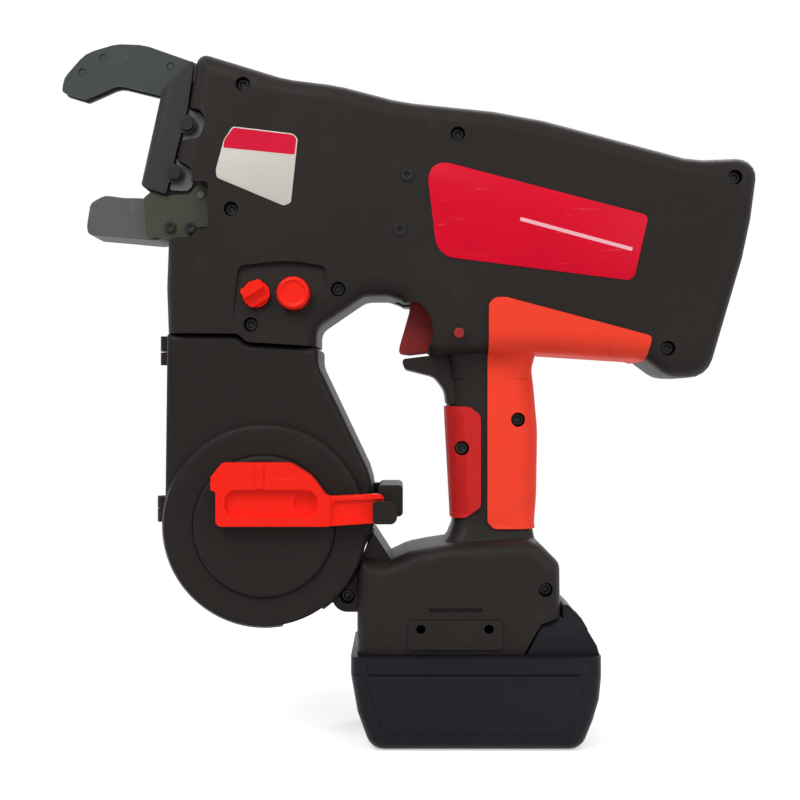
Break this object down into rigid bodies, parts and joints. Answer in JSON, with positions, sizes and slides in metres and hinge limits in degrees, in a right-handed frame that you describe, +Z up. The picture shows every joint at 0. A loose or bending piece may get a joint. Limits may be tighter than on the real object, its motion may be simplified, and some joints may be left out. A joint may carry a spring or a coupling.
{
  "type": "rebar tying tool",
  "caption": "Hand-held cordless rebar tying tool with hooked jaws, a hinged wire magazine, geared wire feed and twister, trigger grip and slide-on battery.",
  "frame": {"origin": "middle of the battery's underside", "axes": "+X towards the rear of the tool, +Z up, -Y the side with the latch and controls"},
  "size_m": [0.3194, 0.0805, 0.3217],
  "materials": {
    "charcoal": "satin",
    "pack_black": "satin",
    "orange_red": "satin",
    "soft_red": "matte",
    "soft_orange": "matte",
    "dark_red": "satin",
    "coated_steel": "satin",
    "cast_alloy": "satin",
    "bare_steel": "satin",
    "clip_steel": "satin",
    "gear_brass": "satin",
    "motor_shell": "satin",
    "motor_steel": "satin",
    "cell_wrap": "satin",
    "board": "satin"
  },
  "bodies": {
    "tool": {"housing_left": "charcoal", "housing_right": "charcoal", "rear_pad": "soft_orange", "front_pad": "soft_red", "housing_screws": "bare_steel", "gearbox_screws": "bare_steel", "accessory_plate": "charcoal", "nose_guard": "cast_alloy", "frame_plates": "cast_alloy", "side_clips": "clip_steel", "clip_screws": "bare_steel", "upper_jaw_left": "coated_steel", "upper_jaw_right": "coated_steel", "upper_jaw_core": "bare_steel", "jaw_rivets": "coated_steel", "jaw_pins": "bare_steel", "lower_jaw_pin": "bare_steel", "jaw_cheeks": "coated_steel", "cheek_screws": "bare_steel", "shaft_bearing": "gear_brass", "bearing_block": "cast_alloy", "gear_case": "cast_alloy", "tying_motor": "motor_steel", "feed_bracket": "cast_alloy", "feed_motor": "motor_shell", "button_spring": "bare_steel", "trigger_pin": "bare_steel", "trigger_spring": "bare_steel", "trigger_switch": "charcoal", "magazine_case": "charcoal", "hinge_pins": "bare_steel", "control_board": "board"},
    "lower_jaw": {"lower_jaw": "cast_alloy"},
    "twister": {"twist_shaft": "bare_steel", "hook_pins": "bare_steel"},
    "hook_left": {"hook_left": "bare_steel"},
    "hook_right": {"hook_right": "bare_steel"},
    "sleeve": {"sleeve": "bare_steel"},
    "planet_a": {"planet_a": "gear_brass"},
    "planet_b": {"planet_b": "gear_brass"},
    "planet_c": {"planet_c": "gear_brass"},
    "motor_pinion": {"motor_pinion": "bare_steel"},
    "feed_drive": {"feed_drive_wheel": "bare_steel"},
    "idler_lever": {"idler_lever": "gear_brass"},
    "feed_idler": {"feed_idler_wheel": "bare_steel"},
    "feed_pinion": {"feed_pinion": "gear_brass"},
    "release_button": {"release_button": "orange_red"},
    "lock_knob": {"lock_knob": "orange_red"},
    "trigger": {"trigger": "dark_red"},
    "trigger_lock": {"trigger_lock": "orange_red"},
    "cover": {"magazine_cover": "charcoal"},
    "latch": {"latch_disc": "charcoal", "latch_lever": "orange_red", "latch_tip": "charcoal"},
    "reel": {"wire_reel": "charcoal", "wire_winding": "bare_steel"},
    "battery": {"battery_case_lower": "pack_black", "battery_case_upper": "pack_black", "battery_cells": "cell_wrap"},
    "battery_button": {"battery_button": "pack_black"}
  },
  "joints": [
    {"name": "lower_jaw_swing", "type": "hinge", "parent": "tool", "child": "lower_jaw", "pos_m": [-0.1249, 0, 0.2497], "axis": [0, -1, 0], "range_deg": [0, 22]},
    {"name": "twist", "type": "hinge", "parent": "tool", "child": "twister", "pos_m": [-0.09042, 0, 0.26301], "axis": [0.9763, 0, -0.2164], "continuous": true},
    {"name": "motor_spin", "type": "hinge", "parent": "tool", "child": "motor_pinion", "pos_m": [-0.02794, 0, 0.24916], "axis": [0.9763, 0, -0.2164], "continuous": true},
    {"name": "planet_a_spin", "type": "hinge", "parent": "twister", "child": "planet_a", "pos_m": [-0.03444, 0, 0.23831], "axis": [0.9763, 0, -0.2164], "continuous": true},
    {"name": "planet_b_spin", "type": "hinge", "parent": "twister", "child": "planet_b", "pos_m": [-0.03054, 0.01039, 0.25588], "axis": [0.9763, 0, -0.2164], "continuous": true},
    {"name": "planet_c_spin", "type": "hinge", "parent": "twister", "child": "planet_c", "pos_m": [-0.03054, -0.01039, 0.25588], "axis": [0.9763, 0, -0.2164], "continuous": true},
    {"name": "sleeve_slide", "type": "slide", "parent": "twister", "child": "sleeve", "axis": [0.9763, 0, -0.2164], "range_m": [0, 0.01]},
    {"name": "hook_left_swing", "type": "hinge", "parent": "twister", "child": "hook_left", "pos_m": [-0.108, -0.0032, 0.26691], "axis": [0.2164, 0, 0.9763], "range_deg": [0, 5]},
    {"name": "hook_right_swing", "type": "hinge", "parent": "twister", "child": "hook_right", "pos_m": [-0.108, 0.0032, 0.26691], "axis": [-0.2164, 0, -0.9763], "range_deg": [0, 5]},
    {"name": "feed_drive_spin", "type": "hinge", "parent": "tool", "child": "feed_drive", "pos_m": [-0.11, 0, 0.205], "axis": [0, -1, 0], "continuous": true},
    {"name": "idler_lever_swing", "type": "hinge", "parent": "tool", "child": "idler_lever", "pos_m": [-0.131, -0.0106, 0.1945], "axis": [0, -1, 0], "range_deg": [0, 1.8]},
    {"name": "feed_idler_spin", "type": "hinge", "parent": "idler_lever", "child": "feed_idler", "pos_m": [-0.126, 0, 0.205], "axis": [0, -1, 0], "continuous": true},
    {"name": "feed_pinion_spin", "type": "hinge", "parent": "tool", "child": "feed_pinion", "pos_m": [-0.09621, 0.004, 0.21657], "axis": [0, -1, 0], "continuous": true},
    {"name": "release_button_press", "type": "slide", "parent": "tool", "child": "release_button", "axis": [0, 1, 0], "range_m": [0, 0.003], "stiffness_N_per_m": 600, "springref_m": -0.004, "deforming": ["button_spring"]},
    {"name": "lock_knob_turn", "type": "hinge", "parent": "tool", "child": "lock_knob", "pos_m": [-0.0989, -0.028, 0.2038], "axis": [0, 1, 0], "range_deg": [0, 90]},
    {"name": "trigger_pull", "type": "hinge", "parent": "tool", "child": "trigger", "pos_m": [-0.021, 0, 0.205], "axis": [0, -1, 0], "range_deg": [0, 8], "stiffness_Nm_per_rad": 1.2, "springref_deg": -8.59, "deforming": ["trigger_spring"]},
    {"name": "trigger_lock_slide", "type": "slide", "parent": "tool", "child": "trigger_lock", "axis": [0, 1, 0], "range_m": [0, 0.004]},
    {"name": "cover_swing", "type": "hinge", "parent": "tool", "child": "cover", "pos_m": [-0.1434, 0, 0.14], "axis": [0, 0, -1], "range_deg": [0, 100]},
    {"name": "latch_turn", "type": "hinge", "parent": "cover", "child": "latch", "pos_m": [-0.095, -0.034, 0.0995], "axis": [0, 1, 0], "range_deg": [0, 50]},
    {"name": "reel_spin", "type": "hinge", "parent": "tool", "child": "reel", "pos_m": [-0.095, 0, 0.0995], "axis": [0, 1, 0], "continuous": true},
    {"name": "battery_slide", "type": "slide", "parent": "tool", "child": "battery", "axis": [1, 0, 0], "range_m": [0, 0.085]},
    {"name": "battery_button_press", "type": "slide", "parent": "battery", "child": "battery_button", "axis": [-0.8616, 0, -0.5075], "range_m": [0, 0.0025], "stiffness_N_per_m": 500, "springref_m": -0.003}
  ],
  "couplings": [
    {"joint": "motor_spin", "follows": "twist", "ratio": 5},
    {"joint": "planet_a_spin", "follows": "twist", "ratio": -2.6667},
    {"joint": "planet_b_spin", "follows": "twist", "ratio": -2.6667},
    {"joint": "planet_c_spin", "follows": "twist", "ratio": -2.6667},
    {"joint": "hook_left_swing", "follows": "sleeve_slide", "rad_per_m": 8.7},
    {"joint": "hook_right_swing", "follows": "sleeve_slide", "rad_per_m": 8.7},
    {"joint": "feed_idler_spin", "follows": "feed_drive_spin", "ratio": -1},
    {"joint": "feed_pinion_spin", "follows": "feed_drive_spin", "ratio": -2},
    {"joint": "idler_lever_swing", "follows": "release_button_press", "rad_per_m": 10.4}
  ]
}
